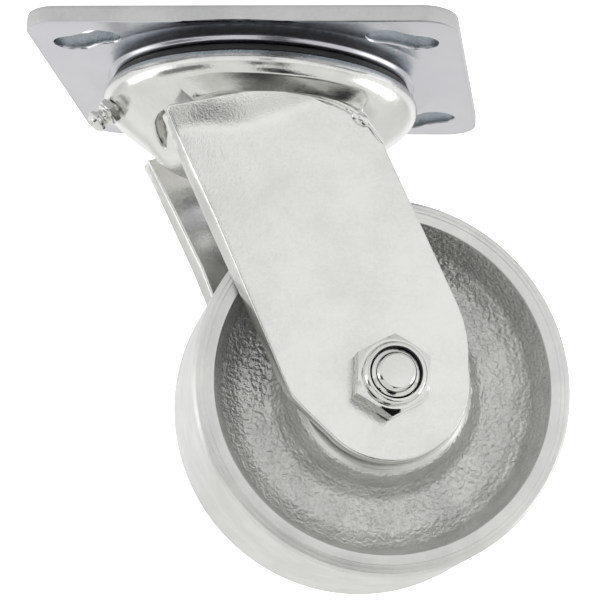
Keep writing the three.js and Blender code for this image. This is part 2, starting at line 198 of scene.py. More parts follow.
def add_floor(reach, level):
    """A pale square floor below the caster."""
    shape = bmesh.new()
    corners = [(-reach, -reach), (reach, -reach), (reach, reach), (-reach, reach)]
    shape.faces.new([shape.verts.new((x, y, level)) for x, y in corners])
    floor = link_mesh("floor", shape)
    floor.data.materials.append(stage_material("pale_floor", "#f2f2f0"))


def add_surround(radius):
    """A white dome that only the camera sees."""
    shape = bmesh.new()
    bmesh.ops.create_icosphere(shape, subdivisions=3, radius=radius)
    dome = link_mesh("white_surround", shape)
    dome.data.materials.append(stage_material("white_surround", "#ffffff", 1.0))
    for ray in ("diffuse", "glossy", "transmission", "volume_scatter", "shadow"):
        setattr(dome, "visible_" + ray, False)


def set_stage():
    """Camera, lamps, the cards that the plating mirrors, floor and surround."""
    place_camera()
    light_world()
    middle = (0.02, 0, -0.08)
    add_area("key", (-0.9, -1.3, 0.7), middle, (0.9, 0.9), 5)
    add_area("fill", (1.4, -0.9, 0.1), middle, (1.0, 1.2), 3)
    add_area("back", (-0.6, 1.5, 0.5), middle, (1.2, 0.8), 5)
    add_card("dark_stand", (0.285, -0.74, -0.25), middle, (0.12, 0.32), "#0a0a0a")
    add_card("dark_camera_side", (0.07, -0.76, -0.255), middle, (0.15, 0.2), "#050505")
    add_card("dim_camera_stand", (0.18, -0.8, 0.13), middle, (0.07, 0.26), "#1c1c1c")
    add_card("dark_table_gap", (0.16, -0.35, -0.405), (0.16, -0.35, 0), (0.22, 0.4), "#050505")
    add_card("bright_left", (-1.0, -0.16, -0.3), middle, (0.8, 0.4), "#ffffff", 1.0)
    add_card("bright_right", (0.72, 0.16, -0.4), middle, (0.6, 0.6), "#ffffff", 1.0)
    add_card("dim_table_edge", (-0.5, -0.38, -0.38), middle, (0.5, 0.34), "#6a6a6a")
    add_floor(reach=6, level=-0.42)
    add_surround(radius=20)
    bpy.context.scene.view_settings.view_transform = "Standard"


# --- materials ------------------------------------------------------------------------------------


def start_material(name):
    """A material with a Principled shader, and the object's own coordinates in metres."""
    material = bpy.data.materials.new(name)
    material.use_nodes = True
    tree = material.node_tree
    shader = tree.nodes["Principled BSDF"]
    place = node_in(tree, "ShaderNodeTexCoord").outputs["Object"]
    return material, tree, shader, place


def noise_in(tree, place, size_mm, detail=2.0, roughness=0.5, distortion=0.0):
    """Noise whose blotches are about size_mm across."""
    settings = {"Scale": 1 / (size_mm * MM), "Detail": detail, "Roughness": roughness}
    settings["Distortion"] = distortion
    return node_in(tree, "ShaderNodeTexNoise", settings, {"Vector": place}).outputs["Fac"]


def bump_in(tree, height, depth_mm, normal=None):
    """A bump depth_mm deep, laid over normal."""
    links = {"Height": height}
    if normal is not None:
        links["Normal"] = normal
    bump = node_in(tree, "ShaderNodeBump", {"Strength": 1.0, "Distance": depth_mm * MM}, links)
    return bump.outputs["Normal"]


def plated_steel(name, light, dark, roughness, peel_mm, peel_depth_mm, speckle_depth_mm):
    """Bright zinc plate on pressed steel: faint clouds, a slow orange peel that bends reflections, and
    fine speckle that breaks their edges up."""
    material, tree, shader, place = start_material(name)
    cloud = noise_in(tree, place, 22, 4, 0.6)
    grain = noise_in(tree, place, 0.9, 5, 0.7)
    blend = node_in(tree, "ShaderNodeMath", {"operation": "MULTIPLY_ADD", 1: 0.35}, {0: grain, 2: cloud})
    colour = ramp_in(tree, blend.outputs[0], [(0.38, linear(dark)), (0.86, linear(light))])
    tree.links.new(colour, shader.inputs["Base Color"])
    shader.inputs["Metallic"].default_value = 1
    low, high = roughness
    rough = node_in(
        tree, "ShaderNodeMapRange", {"From Min": 0.35, "From Max": 0.85, "To Min": low, "To Max": high},
        {"Value": blend.outputs[0]},
    )
    tree.links.new(rough.outputs["Result"], shader.inputs["Roughness"])
    speckle = noise_in(tree, place, 0.5, 2, 0.6)
    peel = noise_in(tree, place, peel_mm, 3, 0.55)
    normal = bump_in(tree, peel, peel_depth_mm)
    normal = bump_in(tree, speckle, speckle_depth_mm, normal)
    tree.links.new(normal, shader.inputs["Normal"])
    return material


def cast_iron_silvered():
    """Sand-cast grey iron under a thin silver coat: worm-like grain and pits that catch light as a
    satin sparkle."""
    material, tree, shader, place = start_material("sand_cast_iron_silvered")
    sand = noise_in(tree, place, 1.15, 1.5, 0.45, 0.25)
    cloud = noise_in(tree, place, 9, 3, 0.6)
    colour = ramp_in(tree, cloud, [(0.3, linear("#d0d0ce")), (0.7, linear("#e2e2df"))])
    tree.links.new(colour, shader.inputs["Base Color"])
    shader.inputs["Metallic"].default_value = 0.85
    shader.inputs["Roughness"].default_value = 0.4
    fine = noise_in(tree, place, 0.45, 3, 0.65)
    normal = bump_in(tree, sand, 0.75)
    normal = bump_in(tree, fine, 0.05, normal)
    tree.links.new(normal, shader.inputs["Normal"])
    return material


def radius_in(tree, place):
    """Distance from the wheel's axis, in metres."""
    kind = "ShaderNodeVectorMath"
    centred = node_in(tree, kind, {"operation": "SUBTRACT", 1: tuple(SPIN["pos_m"])}, {0: place})
    axis = tuple(SPIN["axis"])
    across = node_in(tree, kind, {"operation": "CROSS_PRODUCT", 1: axis}, {0: centred.outputs[0]})
    return node_in(tree, kind, {"operation": "LENGTH"}, {0: across.outputs[0]}).outputs["Value"]


def turned_iron():
    """Cast iron faced on a lathe and silvered: fine rings about the axle over a satin ground."""
    material, tree, shader, place = start_material("turned_cast_iron")
    radius = radius_in(tree, place)
    wobble = noise_in(tree, place, 6, 2, 0.5)
    pushed = node_in(tree, "ShaderNodeMath", {"operation": "MULTIPLY_ADD", 1: 0.0002}, {0: wobble, 2: radius})
    ring_place = node_in(tree, "ShaderNodeCombineXYZ", links={"X": pushed.outputs[0]})
    rings = noise_in(tree, ring_place.outputs[0], 0.45, 3, 0.7)
    cloud = noise_in(tree, place, 11, 4, 0.6)
    colour = ramp_in(tree, cloud, [(0.3, linear("#dadad8")), (0.72, linear("#e6e6e3"))])
    tree.links.new(colour, shader.inputs["Base Color"])
    shader.inputs["Metallic"].default_value = 1
    rough = node_in(tree, "ShaderNodeMapRange", {"To Min": 0.26, "To Max": 0.46}, {"Value": rings})
    tree.links.new(rough.outputs["Result"], shader.inputs["Roughness"])
    speck = noise_in(tree, place, 0.8, 4, 0.65)
    normal = bump_in(tree, rings, 0.05)
    normal = bump_in(tree, speck, 0.02, normal)
    tree.links.new(normal, shader.inputs["Normal"])
    return material


def simple_surface(name, light, dark, metallic, roughness, grain_mm, depth_mm):
    """A plain finish with a mottled colour and a fine grain: rubber, nylon and unplated steel."""
    material, tree, shader, place = start_material(name)
    cloud = noise_in(tree, place, grain_mm * 8, 4, 0.6)
    colour = ramp_in(tree, cloud, [(0.3, linear(dark)), (0.75, linear(light))])
    tree.links.new(colour, shader.inputs["Base Color"])
    shader.inputs["Metallic"].default_value = metallic
    low, high = roughness
    rough = node_in(tree, "ShaderNodeMapRange", {"To Min": low, "To Max": high}, {"Value": cloud})
    tree.links.new(rough.outputs["Result"], shader.inputs["Roughness"])
    normal = bump_in(tree, noise_in(tree, place, grain_mm, 3, 0.6), depth_mm)
    tree.links.new(normal, shader.inputs["Normal"])
    return material


# name, light, dark, roughness low and high, orange peel's size and depth, speckle's depth (mm)
ZINC_YOKE = plated_steel("bright_zinc_plated_yoke", "#ebebe8", "#dadad7", (0.1, 0.2), 6.0, 0.07, 0.035)
ZINC_EDGE = plated_steel("blue_zinc_on_sheared_edge", "#c3ccd0", "#a3afb5", (0.2, 0.34), 2.0, 0.05, 0.04)
PLATE_EDGE = plated_steel("zinc_on_sheared_plate_edge", "#cfcfce", "#b9babb", (0.28, 0.42), 1.4, 0.03, 0.05)
# punched slot walls: rougher zinc, and their darker colour is painted shade inside the slots
PUNCHED_WALL_AND_PAINTED_SHADE = plated_steel("punched_wall_zinc_with_painted_shade", "#a9b1b6", "#7c868d", (0.2, 0.34), 2.0, 0.08, 0.05)
ZINC_PLATE = plated_steel("blue_zinc_plated_plate", "#d0d0d6", "#c6c6cd", (0.16, 0.24), 9.0, 0.05, 0.016)
ZINC_FASTENER = plated_steel(
    "bright_zinc_plated_fastener", "#e6e6e3", "#d8d8d4", (0.05, 0.1), 2.0, 0.015, 0.006
)
CAST_IRON = cast_iron_silvered()
TURNED_IRON = turned_iron()
BEARING_STEEL = simple_surface("polished_bearing_steel", "#d5d7da", "#bfc1c4", 1, (0.08, 0.2), 0.6, 0.004)
PLAIN_STEEL = simple_surface("oiled_plain_steel", "#a3a4a6", "#77797c", 1, (0.3, 0.5), 0.8, 0.02)
SEAL_RUBBER = simple_surface("black_seal_rubber", "#1d1e20", "#0d0e0f", 0, (0.3, 0.5), 0.6, 0.02)
NYLON = simple_surface("dark_nylon", "#3a3c3f", "#232528", 0, (0.35, 0.5), 0.5, 0.01)


# --- mesh helpers ---------------------------------------------------------------------------------


def object_from(name, shape, matrix=None):
    """Makes a linked object from a bmesh, with its points moved by matrix."""
    if matrix is not None:
        shape.transform(matrix)
    return link_mesh(name, shape)


def apply_modifiers(piece):
    """Bakes a piece's modifiers into its mesh."""
    graph = bpy.context.evaluated_depsgraph_get()
    baked = bpy.data.meshes.new_from_object(piece.evaluated_get(graph))
    piece.modifiers.clear()
    piece.data = baked


def carve(piece, cutter, operation="DIFFERENCE"):
    """Cuts a piece by, or joins it to, another object, which is used up."""
    modifier = piece.modifiers.new("carve", "BOOLEAN")
    modifier.operation = operation
    modifier.solver = "EXACT"
    modifier.object = cutter
    apply_modifiers(piece)
    bpy.data.objects.remove(cutter)


def finish_piece(piece, body, slot, material, *nodes, sharp_degrees=35):
    """Shades the piece, gives it its finish and hands it to the frame in place of the CAD nodes."""
    if not piece.data.materials:
        piece.data.materials.append(material)
    for polygon in piece.data.polygons:
        polygon.use_smooth = True
    piece.data.set_sharp_from_angle(angle=math.radians(sharp_degrees))
    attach(piece, body)
    if nodes:
        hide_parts(*nodes)
    return piece


def rounded(corners, steps=4):
    """Points along a line through corners (a, b, fillet), each rounded by a tangent arc."""
    points = []
    last = len(corners) - 1
    for i, (a, b, fillet) in enumerate(corners):
        here = Vector((a, b))
        if fillet == 0 or i in (0, last):
            points.append(here)
            continue
        before = (Vector(corners[i - 1][:2]) - here).normalized()
        after = (Vector(corners[i + 1][:2]) - here).normalized()
        half = before.angle(after) / 2
        back = fillet / math.tan(half)
        centre = here + (before + after).normalized() * (fillet / math.sin(half))
        start, end = here + before * back - centre, here + after * back - centre
        turn = start.angle_signed(end)
        for step in range(steps + 1):
            angle = -turn * step / steps
            swung = Vector(
                (
                    start.x * math.cos(angle) - start.y * math.sin(angle),
                    start.x * math.sin(angle) + start.y * math.cos(angle),
                )
            )
            points.append(centre + swung)
    return points


def turned_shape(profile, segments=128, closed=True, upright=True):
    """A bmesh turned about Z (upright) or Y. profile is points (radius, height). A closed profile is a
    ring's section; an open one starts and ends on the axis."""
    shape = bmesh.new()
    rings = []
    for radius, height in profile:
        if radius < 1e-6:
            place = (0, 0, height) if upright else (0, height, 0)
            rings.append([shape.verts.new(place)])
            continue
        ring = []
        for i in range(segments):
            angle = 2 * math.pi * i / segments
            x, side = radius * math.cos(angle), radius * math.sin(angle)
            ring.append(shape.verts.new((x, side, height) if upright else (x, height, -side)))
        rings.append(ring)
    pairs = list(zip(rings, rings[1:] + (rings[:1] if closed else [])))
    if not closed:
        pairs = pairs[: len(rings) - 1]
    for low, high in pairs:
        for i in range(segments):
            j = (i + 1) % segments
            if len(low) == 1:
                shape.faces.new((low[0], high[j], high[i]))
            elif len(high) == 1:
                shape.faces.new((low[i], low[j], high[0]))
            else:
                shape.faces.new((low[i], low[j], high[j], high[i]))
    bmesh.ops.recalc_face_normals(shape, faces=shape.faces)
    return shape


def turned_rod(name, corners, matrix, segments, upright=True):
    """A solid turned piece from rounded corners, which start and end on the axis."""
    return object_from(name, turned_shape(rounded(corners), segments, False, upright), matrix)


def ring_section(inner, outer, low, high, fillet):
    """A ring's rectangular section with rounded corners, as a closed list of points."""
    corners = [
        ((inner + outer) / 2, low, 0),
        (outer, low, fillet),
        (outer, high, fillet),
        (inner, high, fillet),
        (inner, low, fillet),
        ((inner + outer) / 2, low, 0),
    ]
    return rounded(corners, 3)[:-1]


def loft(outlines):
    """A closed bmesh skin over outlines, which are equally long rings of points."""
    shape = bmesh.new()
    rings = [[shape.verts.new(point) for point in outline] for outline in outlines]
    count = len(rings[0])
    for low, high in zip(rings, rings[1:]):
        for i in range(count):
            j = (i + 1) % count
            shape.faces.new((low[i], low[j], high[j], high[i]))
    shape.faces.new(list(reversed(rings[0])))
    shape.faces.new(rings[-1])
    bmesh.ops.recalc_face_normals(shape, faces=shape.faces)
    return shape


def join_shapes(name, *shapes):
    """One object holding several closed shells."""
    whole = bmesh.new()
    for shape in shapes:
        mesh = bpy.data.meshes.new("shell")
        shape.to_mesh(mesh)
        shape.free()
        whole.from_mesh(mesh)
        bpy.data.meshes.remove(mesh)
    return object_from(name, whole)


def bevel_edges(piece, width_mm, segments=2, degrees=28):
    """Rounds the edges that turn by more than degrees."""
    bevel = piece.modifiers.new("bevel", "BEVEL")
    bevel.width = width_mm
    bevel.segments = segments
    bevel.limit_method = "ANGLE"
    bevel.angle_limit = math.radians(degrees)
    bevel.use_clamp_overlap = True
    apply_modifiers(piece)


def curve_through(points, steps=8):
    """A smooth line through points, as Catmull-Rom pieces."""
    held = [points[0], *points, points[-1]]
    line = []
    for a, b, c, d in zip(held, held[1:], held[2:], held[3:]):
        a, b, c, d = (Vector(p) for p in (a, b, c, d))
        for step in range(steps):
            t = step / steps
            curve, twist = 2 * a - 5 * b + 4 * c - d, 3 * b - a - 3 * c + d
            line.append(0.5 * (2 * b + (c - a) * t + curve * t * t + twist * t**3))
    line.append(Vector(points[-1]))
    return line


# --- top plate --------------------------------------------------------------------------------------

HOLE_OUT = Vector((46.04, 33.34))
HOLE_IN = Vector((38.1, 38.1))
SLOT_RADIUS = 5.2
SLOT_WAIST = 4.55
PLATE_HOLE = 8.3
FLAT_TOP = 49
FLAT_UNDER = 52.5


def outline_reach(angle, inset):
    """From the plate's centre to its rounded outline, drawn in by inset, in this direction."""
    half_x, half_y = PLATE_HALF_X - inset, PLATE_HALF_Y - inset
    corner = max(PLATE_CORNER - inset, 0.1)
    c, s = abs(math.cos(angle)), abs(math.sin(angle))
    reach = min(half_x / max(c, 1e-9), half_y / max(s, 1e-9))
    x, y = half_x - corner, half_y - corner
    if c * reach > x and s * reach > y:
        dot = c * x + s * y
        reach = dot + math.sqrt(max(dot * dot - (x * x + y * y) + corner * corner, 0))
    return reach


def plate_surfaces():
    """The plate's height on its top and underside, as (radius, height) lines out to the flat."""
    dip = [(27.5, 0, 6), (31.5, -1.9, 3), (37.6, -1.9, 3), (43.5, 0, 6)]
    top = rounded([(0, 0, 0), *dip, (FLAT_TOP, 0, 0)], 6)
    under = rounded(
        [
            (0, -PLATE_THICK, 0),
            (27, -PLATE_THICK, 1.5),
            (29.4, -7.2, 1),
            (32.3, -7.3, 0.4),
            (35, -6.2, 2.5),
            (37.8, -7.3, 0.4),
            (40.2, -7.35, 0.5),
            (41.9, -6.6, 0.7),
            (42.4, -5.65, 0.5),
            (45, -5.25, 2.5),
            (49, -PLATE_THICK, 6),
            (FLAT_UNDER, -PLATE_THICK, 0),
        ],
        6,
    )
    return top, under


def round_ring(radius):
    """A round ring of the plate's skin: its reach is the same all round."""
    return lambda angle: radius


def edge_ring(inset):
    """A ring that follows the plate's outline, drawn in by inset."""
    return lambda angle: outline_reach(angle, inset)


def blend_ring(share, radius):
    """A ring part of the way from a round one out to the outline."""
    return lambda angle: radius + (outline_reach(angle, 1.5) - radius) * share


def plate_shape(segments=432):
    """Closed skin over both faces, with a rolled top edge and a sheared lower one."""
    top, under = plate_surfaces()
    under_edge = [(0.9, -PLATE_THICK), (0.35, -4.74), (0.08, -4.6), (0, -4.2)]
    side = [(0, -3.2), (0.02, -1.4)]
    top_edge = [(0.12, -0.75), (0.34, -0.36), (0.72, -0.1), (1.3, 0.0)]
    countersink = [(11.4, -0.15), (11.2, -0.9), (PLATE_HOLE, -3.9)]
    rings = [(round_ring(PLATE_HOLE), -PLATE_THICK + 0.001)]
    rings += [(round_ring(p.x), p.y) for p in under if p.x > PLATE_HOLE + 0.5]
    rings += [(blend_ring(share, FLAT_UNDER), -PLATE_THICK) for share in (0.35, 0.75)]
    rings += [(edge_ring(inset), z) for inset, z in under_edge + side + top_edge]
    rings += [(blend_ring(share, FLAT_TOP), 0.0) for share in (0.75, 0.35)]
    rings += [(round_ring(p.x), p.y) for p in reversed(top) if p.x > 11.6]
    rings += [(round_ring(radius), z) for radius, z in countersink]
    shape = bmesh.new()
    loops = []
    for reach_at, z in rings:
        loop = []
        for i in range(segments):
            angle = 2 * math.pi * i / segments
            reach = reach_at(angle)
            loop.append(shape.verts.new((reach * math.cos(angle), reach * math.sin(angle), z)))
        loops.append(loop)
    for low, high in zip(loops, loops[1:] + loops[:1]):
        for i in range(segments):
            j = (i + 1) % segments
            shape.faces.new((low[i], low[j], high[j], high[i]))
    bmesh.ops.recalc_face_normals(shape, faces=shape.faces)
    return shape


def slot_outline(sign_x, sign_y, grow):
    """Two punched holes run together, with a slight waist where they meet."""
    far = Vector((sign_x * HOLE_OUT.x, sign_y * HOLE_OUT.y))
    near = Vector((sign_x * HOLE_IN.x, sign_y * HOLE_IN.y))
    along = (near - far).normalized()
    across = Vector((-along.y, along.x))
    radius = SLOT_RADIUS + grow
    half = (near - far).length / 2
    middle = (near + far) / 2
    waist = SLOT_WAIST + grow
    outline = []
    lobe_steps = 24
    for sign in (1, -1):
        for step in range(lobe_steps + 1):
            angle = math.pi / 2 - math.pi * step / lobe_steps
            forth = along * sign * (half + radius * math.cos(angle))
            outline.append(middle + forth + across * sign * radius * math.sin(angle))
        outline.append(middle - across * sign * waist + along * sign * half * 0.35)
        outline.append(middle - across * sign * waist - along * sign * half * 0.35)
    return outline


# How much a slot is widened at each height: rolled in at the top, broken a little at the bottom.
SLOT_LEVELS = [
    (0.9, 1.0), (0.55, -0.02), (0.12, -0.5), (0, -1.1), (0, -3.6), (0.1, -4.4), (0.35, -4.78), (0.9, -5.6)
]


def slot_cutter(sign_x, sign_y):
    """What is punched out of the plate at one corner."""
    rings = []
    for grow, z in SLOT_LEVELS:
        rings.append([(p.x, p.y, z) for p in slot_outline(sign_x, sign_y, grow)])
    return loft(rings)


def make_top_plate():
    """The plate with its pressed race and four slots; sheared edges and punched walls differ in finish, and
    the punched walls' darker colour is painted shade.
    """
    plate = object_from("top_plate_shown", plate_shape())
    cutters = [slot_cutter(sign_x, sign_y) for sign_x in (-1, 1) for sign_y in (-1, 1)]
    carve(plate, join_shapes("slot_cutters", *cutters))
    for material in (ZINC_PLATE, PLATE_EDGE, PUNCHED_WALL_AND_PAINTED_SHADE):
        plate.data.materials.append(material)
    race_radius = 44
    for polygon in plate.data.polygons:
        x, y, z = polygon.center
        if abs(polygon.normal.z) < 0.5 and math.hypot(x, y) > race_radius:
            outer = outline_reach(math.atan2(y, x), 0.4) < math.hypot(x, y)
            # index 2 is the slot walls, whose darker colour is painted shade
            polygon.material_index = 1 if outer else 2
    plate.data.transform(AT_PLATE)
    finish_piece(plate, "root", "plated_plate", ZINC_PLATE, "top_plate", sharp_degrees=40)


# --- swivel head and legs ---------------------------------------------------------------------------

# The head's outer wall: radius and height from the lip down to the rounded bottom.
BOWL_SKIN = [
    (41.6, -9.35),
    (42.5, -9.7),
    (43.1, -10.9),
    (43.4, -12.0),
    (43.1, -13.6),
    (42.0, -15.6),
    (39.6, -18.1),
    (36.5, -20.6),
    (32.6, -23.7),
    (28.8, -27.2),
    (25.5, -29.2),
    (20.5, -30.2),
]
# The bend between a leg's face and the hollow above it, then where that hollow meets the head's wall:
# distances across the head, and heights.
ARCH_AT_LEG = [(-28.4, -23.9), (-21, -22.0), (-13.2, -19.6), (-4.8, -17.7), (2.4, -16.9), (9.7, -17.1),
               (16.2, -18.3), (20.8, -20.2), (25.5, -23.4), (29.5, -28.3)]
ARCH_AT_WALL = [(-32.3, -19.4), (-28.6, -16.4), (-18.5, -15.7), (-8, -15.8), (1, -15.9), (9.5, -15.9),
                (17.5, -15.9), (23.5, -16.1), (28.2, -17.6), (30.4, -22)]
WALL_RADIUS = 42
# How far a leg's leading edge leans between its two faces.
EDGE_SLANT = 2.2
# Where a leg's outer face starts to curve outwards, how tightly it does, and how far it can reach.
FLARE_FOLD = [
    (-28.6, -33), (-25, -31.8), (-20, -30.4), (-10, -29.4), (-3, -27), (7, -22.5), (18, -19), (29.6, -28)
]
FLARE_LOW = -34
FLARE_RADIUS = 15
FLARE_REACH = 3.5
FLARE_CUT_Z = 0.7
FLARE_CUT_X = 1.6
# How deep the hollow's cutter starts, inside the leg, and how far out it ends, beyond the wall.
HOLLOW_BACK = 23.7
HOLLOW_OUT = 60


def bowl_shape():
    """The pressed head, hollow above for the ball race, as one turned skin."""
    skin = [(p.x, p.y) for p in curve_through(BOWL_SKIN, 5)]
    inside = [(8.3, -30.2), (8.3, -25.2), (20.6, -25.2), (22.2, -15), (24, -13.2), (31.4, -12.9),
              (33.2, -13.2), (34.9, -13.5), (36.6, -13.2), (37.8, -12.4), (38.9, -11.2), (39.5, -9.5)]
    return turned_shape(skin + inside, 256)


def hollow_shape(side):
    """What is pressed out of the head above a leg: a ruled arch from the leg's face out to the wall."""
    at_leg = curve_through(ARCH_AT_LEG, 6)
    at_wall = curve_through(ARCH_AT_WALL, 6)
    outlines = []
    for share in (-1, 0, 0.25, 0.5, 0.75, 1, 2):
        ring = []
        for a, b in zip(at_leg, at_wall):
            wall = math.sqrt(max(WALL_RADIUS**2 - b.x**2, 0))
            held = max(share, 0)
            x = a.x + (b.x - a.x) * held
            z = a.y + (b.y - a.y) * min(held, 1)
            y = LEG_OUTER - 0.4 + (max(wall, LEG_OUTER + 3) - LEG_OUTER) * share
            y = HOLLOW_BACK if share < 0 else HOLLOW_OUT if share > 1 else y
            ring.append((x, side * y, z))
        y = side * (HOLLOW_BACK if share < 0 else HOLLOW_OUT if share > 1 else LEG_OUTER + 12 * share)
        ring += [(34, y, -60), (-35, y, -60), (-33.5, y, -24)]
        outlines.append(ring)
    return loft(outlines)


def crescent_shape(side):
    """The relief opening at a leg's leading root, cut square through the head's wall."""
    mouth = [(-29.6, 19.6, -20.9), (-31.3, 17.0, -21.9), (-31.7, 13.2, -23.0), (-30.8, 9.6, -24.9),
             (-29.2, 7.0, -27.1), (-27.6, 5.8, -28.6), (-27.5, 9.2, -27.4), (-27.8, 13.2, -25.7),
             (-27.9, 17.6, -23.2)]
    inward = Vector((0.74, -0.37, 0.56))
    middle = Vector((-29.2, 12.4, -24.7))
    shift = Vector((0.3, 0, -0.8))
    # depth along inward, and how wide the mouth is there: a rolled lip outside, then a narrowing bore
    levels = ((-3.5, 2.1), (-0.6, 1.5), (0.4, 1.18), (1.5, 0.95), (4.5, 0.9), (5.3, 0.6))
    outlines = []
    for depth, grow in levels:
        ring = []
        for point in mouth:
            spread = middle + (Vector(point) - middle) * grow + inward * depth + shift
            ring.append((spread.x, side * spread.y, spread.z))
        outlines.append(ring)
    return loft(outlines)


def leg_outline(slant):
    """The leg's flat face: a straight taper from the arched top to a rounded end about the axle.
    slant moves the leading edge, most near the top."""
    axle = Vector((LEAD, -AXLE_DROP))
    # x, height, and the share of the slant that the point takes
    leading = [(-28.5, -24.4, 0.45), (-21.6, -37.7, 0.8), (-13.6, -53.2, 1), (6.2, -95.2, 0.25),
               (7.0, -97.0, 0.2), (8.3, -98.8, 0), (10.8, -101.2, 0)]
    points = [Vector((x + slant * share, z)) for x, z, share in leading]
    first, last, steps = math.radians(-129), math.radians(12), 48
    for step in range(steps + 1):
        angle = first + (last - first) * step / steps
        points.append(axle + LOBE_RADIUS * Vector((math.cos(angle), math.sin(angle))))
    points += [Vector(p) for p in ((54.4, -82.6), (53.9, -78.6), (52.8, -74.4), (51.0, -70.2), (30.4, -29.6))]
    return points + [Vector((p.x, p.y + 0.9)) for p in reversed(curve_through(ARCH_AT_LEG, 4))]


def keep_flat(piece):
    """Rings the large flat faces with a thin inset, so that smooth shading stays out of them."""
    shape = bmesh.new()
    shape.from_mesh(piece.data)
    shape.faces.ensure_lookup_table()
    large_area = 200
    large = [face for face in shape.faces if face.calc_area() > large_area]
    bmesh.ops.inset_region(shape, faces=large, thickness=0.12, use_even_offset=True)
    shape.to_mesh(piece.data)
    shape.free()


def height_on(line, x):
    """The height of a line above x, or None beyond its ends."""
    for a, b in zip(line, line[1:]):
        if a.x <= x <= b.x:
            return a.lerp(b, (x - a.x) / (b.x - a.x)).y
    return None


def flare_leg(piece, side):
    """Curves the leg's outer face outwards under the arch, where the pressed bend begins."""
    shape = bmesh.new()
    shape.from_mesh(piece.data)
    cuts = [((0, 0, FLARE_LOW + i * FLARE_CUT_Z), (0, 0, 1)) for i in range(26)]
    cuts += [((-28 + i * FLARE_CUT_X, 0, 0), (1, 0, 0)) for i in range(37)]
    for place, normal in cuts:
        top = [face for face in shape.faces if face.calc_center_median().z > FLARE_LOW or normal[2] == 1]
        geometry = set(top)
        for face in top:
            geometry.update(face.edges)
            geometry.update(face.verts)
        bmesh.ops.bisect_plane(shape, geom=list(geometry), plane_co=place, plane_no=normal)
    fold = curve_through(FLARE_FOLD, 6)
    for vert in shape.verts:
        if vert.co.y * side < LEG_OUTER - 1:
            continue
        start = height_on(fold, vert.co.x)
        if start is not None and vert.co.z > start:
            rise = (vert.co.z - start) ** 2 / (2 * FLARE_RADIUS)
            vert.co.y += side * rise * FLARE_REACH / (rise + FLARE_REACH)
    shape.to_mesh(piece.data)
    shape.free()


def leg_piece(side):
    """One leg with its axle hole and broken edges, flared outwards at its top."""
    inner_slant = EDGE_SLANT * side
    faces = ((LEG_INNER, leg_outline(inner_slant)), (LEG_OUTER, leg_outline(0)))
    leg = object_from("leg", loft([[(p.x, side * level, p.y) for p in outline] for level, outline in faces]))
    hole_radius = AXLE_RADIUS + 0.3
    hole = turned_shape([(0, -40), (hole_radius, -40), (hole_radius, 40), (0, 40)], 96, False, False)
    hole.transform(Matrix.Translation((LEAD, 0, -AXLE_DROP)))
    carve(leg, object_from("axle_hole", hole))
    bevel_edges(leg, 0.5, 3, 40)
    keep_flat(leg)
    flare_leg(leg, side)
    return leg


def fillet_shape(side):
    """The pressed bend along the crease: a concave strip between the leg's face and the hollow."""
    line = curve_through(ARCH_AT_LEG, 8)
    outlines = []
    for i, here in enumerate(line):
        along = (line[min(i + 1, len(line) - 1)] - line[max(i - 1, 0)]).normalized()
        down = Vector((along.y, -along.x))
        fade = min(i, len(line) - 1 - i) / 14
        bend = 0.25 + 0.95 * min(fade, 1)
        section = [(-0.4, bend), (0.02, bend)]
        for angle in (0.26, 0.52, 0.79, 1.05, 1.31):
            section.append((bend - bend * math.cos(angle), bend - bend * math.sin(angle)))
        section += [(bend, 0.0), (bend, -0.5), (-0.4, -0.5)]
        ring = []
        for out, drop in section:
            spot = here + down * drop
            ring.append((spot.x, side * (LEG_OUTER + out), spot.y))
        outlines.append(ring)
    return loft(outlines)


# Weld metal at the trailing end of a crease: each blob's place on the leg's face, radii and tilt.
WELD_BLOBS = [
    ((23.2, -21.8), (3.1, 1.3, 1.9), 36),
    ((27.2, -25.6), (3.8, 0.7, 0.7), 50),
    ((20.6, -20.0), (2.2, 1.0, 0.9), 30),
]


def weld_piece(side):
    """The weld's blobs, run together and smoothed."""
    shape = bmesh.new()
    for (x, z), radii, tilt in WELD_BLOBS:
        matrix = Matrix.Translation((x, side * LEG_OUTER, z)) @ Matrix.Rotation(math.radians(tilt), 4, "Y")
        matrix = matrix @ Matrix.Diagonal((*radii, 1))
        bmesh.ops.create_icosphere(shape, subdivisions=4, radius=1, matrix=matrix)
    weld = object_from("weld", shape)
    soften(weld, 0.22, 5)
    return weld


def soften(piece, voxel_mm, rounds):
    """Runs a piece's shells together and rounds every edge."""
    remesh = piece.modifiers.new("remesh", "REMESH")
    remesh.mode = "VOXEL"
    remesh.voxel_size = voxel_mm * 1
    smooth = piece.modifiers.new("smooth", "SMOOTH")
    smooth.factor = 0.5
    smooth.iterations = rounds
    apply_modifiers(piece)


def absorb(piece, *others):
    """Takes other objects' closed shells into this one."""
    shape = bmesh.new()
    shape.from_mesh(piece.data)
    for other in others:
        shape.from_mesh(other.data)
        bpy.data.objects.remove(other)
    shape.to_mesh(piece.data)
    shape.free()


def make_yoke():
    """The pressed head, both legs, the bends and the welds, drawn square to the legs and then turned."""
    head = object_from("yoke_shown", bowl_shape())
    carve(head, join_shapes("hollow_cutters", hollow_shape(-1), hollow_shape(1)))
    carve(head, join_shapes("crescent_cutters", crescent_shape(-1), crescent_shape(1)))
    soften(head, 0.42, 6)
    head.data.materials.append(ZINC_YOKE)
    head.data.materials.append(ZINC_EDGE)
    lip_height, lip_radius = -10.9, 41.2
    for polygon in head.data.polygons:
        x, y, z = polygon.center
        if z > lip_height and math.hypot(x, y) > lip_radius:
            polygon.material_index = 1
    for side in (-1, 1):
        absorb(head, leg_piece(side), object_from("bend", fillet_shape(side)), weld_piece(side))
    head.data.transform(AT_YOKE)
    replaced = ("yoke_base", "yoke_leg_near", "yoke_leg_far")
    finish_piece(head, "yoke", "plated_yoke", ZINC_YOKE, *replaced, sharp_degrees=50)


# --- head's inside, seal, king pin --------------------------------------------------------------------


